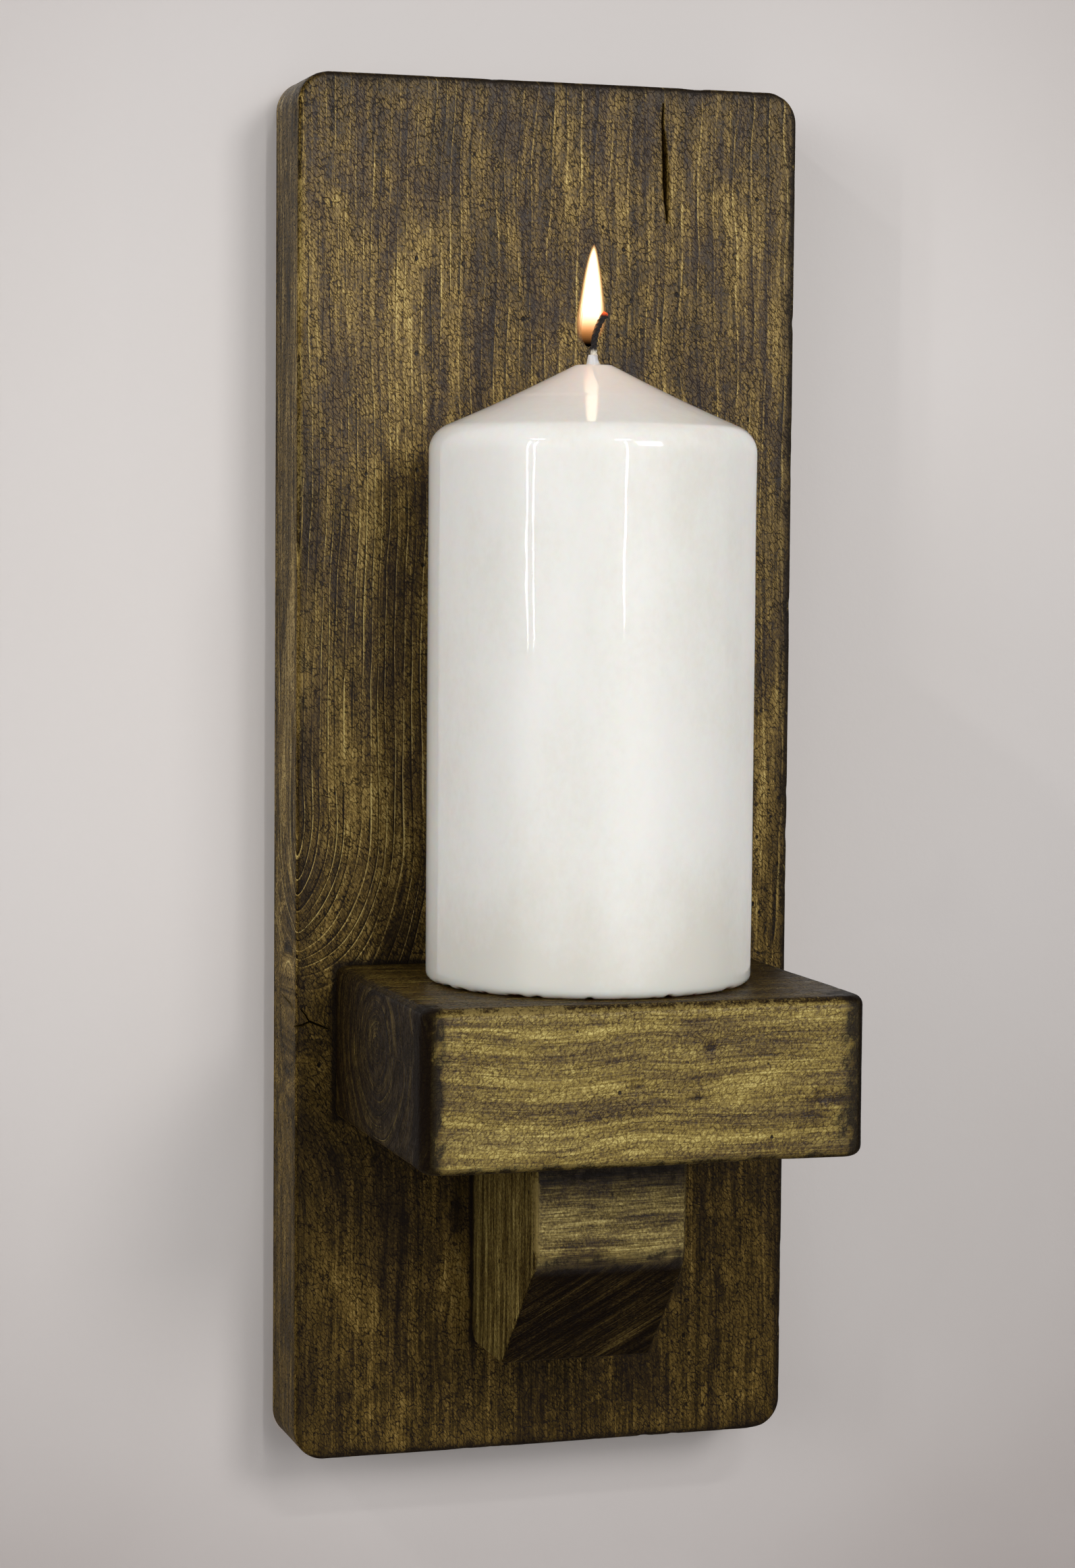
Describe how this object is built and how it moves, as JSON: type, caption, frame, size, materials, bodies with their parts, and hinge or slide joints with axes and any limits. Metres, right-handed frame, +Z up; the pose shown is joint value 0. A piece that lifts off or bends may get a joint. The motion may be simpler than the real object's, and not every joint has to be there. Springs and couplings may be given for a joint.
{
  "type": "wall sconce candle holder",
  "caption": "Wooden wall sconce: a tall plank with a block shelf on a sawn corbel, holding a pillar candle, hung by a keyhole plate.",
  "frame": {"origin": "centre of the hanger plate's keyhole entry, in the plane of the plank's back face", "axes": "+Z up along the plank, -Y out of the front, +Y into the wall, +X to the viewer's right"},
  "size_m": [0.132, 0.111, 0.35],
  "materials": {
    "board_wood": "dark stained softwood, worn, upright grain",
    "shelf_wood": "stained softwood, worn, level grain, dark end grain",
    "corbel_wood": "stained softwood, worn, upright grain, sawn slope",
    "wax": "smooth ivory candle wax, slightly glossy",
    "wick_cotton": "burnt cotton braid",
    "screw_steel": "zinc plated",
    "plate_steel": "zinc plated, stamped"
  },
  "bodies": {
    "sconce": {"backboard": "board_wood", "shelf": "shelf_wood", "corbel": "corbel_wood", "shelf_screw_left": "screw_steel", "shelf_screw_right": "screw_steel", "corbel_screw_upper": "screw_steel", "corbel_screw_lower": "screw_steel", "hanger_plate": "plate_steel", "hanger_screw_upper": "screw_steel", "hanger_screw_lower": "screw_steel"},
    "candle": {"candle_wax": "wax", "wick": "wick_cotton"}
  },
  "joints": [
    {"name": "candle_lift", "type": "slide", "parent": "sconce", "child": "candle", "axis": [0, 0, 1], "range_m": [0, 0.15]}
  ]
}
